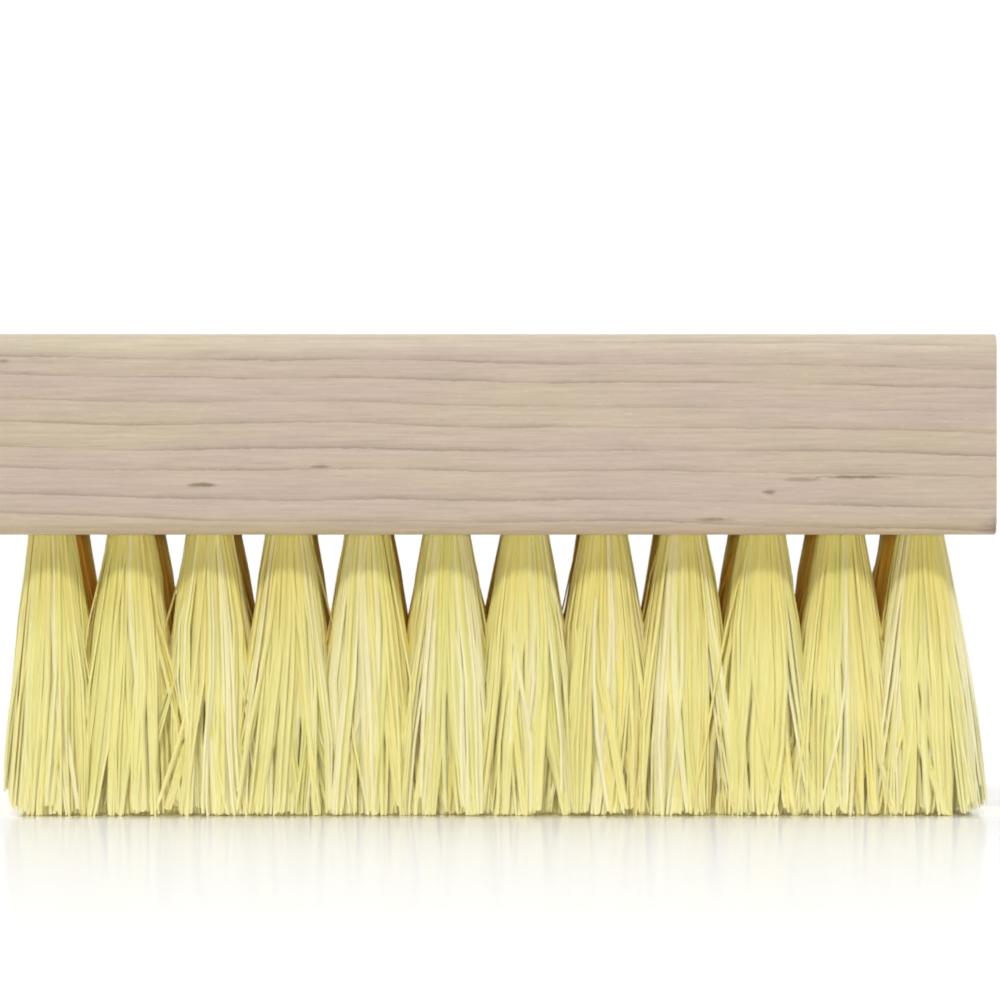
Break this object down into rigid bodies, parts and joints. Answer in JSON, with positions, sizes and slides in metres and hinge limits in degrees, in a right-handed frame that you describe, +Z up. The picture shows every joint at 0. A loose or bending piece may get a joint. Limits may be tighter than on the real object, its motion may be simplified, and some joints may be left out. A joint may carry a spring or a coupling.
{
  "type": "block brush",
  "caption": "Rectangular hardwood block brush with rows of round, stiff, pale yellow fibre tufts set in drilled holes. It sweeps flour and crumbs off a bench and stands on its tips.",
  "frame": {"origin": "middle of the footprint on the surface that the fibre tips stand on", "axes": "+X along the block's length, -Y towards the front long side, +Z up from the tips to the block's top"},
  "size_m": [0.127, 0.0446, 0.06],
  "materials": {
    "block_wood": "bare sanded hardwood",
    "tuft_fibre": "pale yellow fibre, satin"
  },
  "bodies": {
    "root": {"block": "block_wood", "tuft_r1_c01": "tuft_fibre", "tuft_r1_c02": "tuft_fibre", "tuft_r1_c03": "tuft_fibre", "tuft_r1_c04": "tuft_fibre", "tuft_r1_c05": "tuft_fibre", "tuft_r1_c06": "tuft_fibre", "tuft_r1_c07": "tuft_fibre", "tuft_r1_c08": "tuft_fibre", "tuft_r1_c09": "tuft_fibre", "tuft_r1_c10": "tuft_fibre", "tuft_r1_c11": "tuft_fibre", "tuft_r1_c12": "tuft_fibre", "tuft_r2_c01": "tuft_fibre", "tuft_r2_c02": "tuft_fibre", "tuft_r2_c03": "tuft_fibre", "tuft_r2_c04": "tuft_fibre", "tuft_r2_c05": "tuft_fibre", "tuft_r2_c06": "tuft_fibre", "tuft_r2_c07": "tuft_fibre", "tuft_r2_c08": "tuft_fibre", "tuft_r2_c09": "tuft_fibre", "tuft_r2_c10": "tuft_fibre", "tuft_r2_c11": "tuft_fibre", "tuft_r2_c12": "tuft_fibre", "tuft_r3_c01": "tuft_fibre", "tuft_r3_c02": "tuft_fibre", "tuft_r3_c03": "tuft_fibre", "tuft_r3_c04": "tuft_fibre", "tuft_r3_c05": "tuft_fibre", "tuft_r3_c06": "tuft_fibre", "tuft_r3_c07": "tuft_fibre", "tuft_r3_c08": "tuft_fibre", "tuft_r3_c09": "tuft_fibre", "tuft_r3_c10": "tuft_fibre", "tuft_r3_c11": "tuft_fibre", "tuft_r3_c12": "tuft_fibre", "tuft_r4_c01": "tuft_fibre", "tuft_r4_c02": "tuft_fibre", "tuft_r4_c03": "tuft_fibre", "tuft_r4_c04": "tuft_fibre", "tuft_r4_c05": "tuft_fibre", "tuft_r4_c06": "tuft_fibre", "tuft_r4_c07": "tuft_fibre", "tuft_r4_c08": "tuft_fibre", "tuft_r4_c09": "tuft_fibre", "tuft_r4_c10": "tuft_fibre", "tuft_r4_c11": "tuft_fibre", "tuft_r4_c12": "tuft_fibre"}
  },
  "joints": []
}
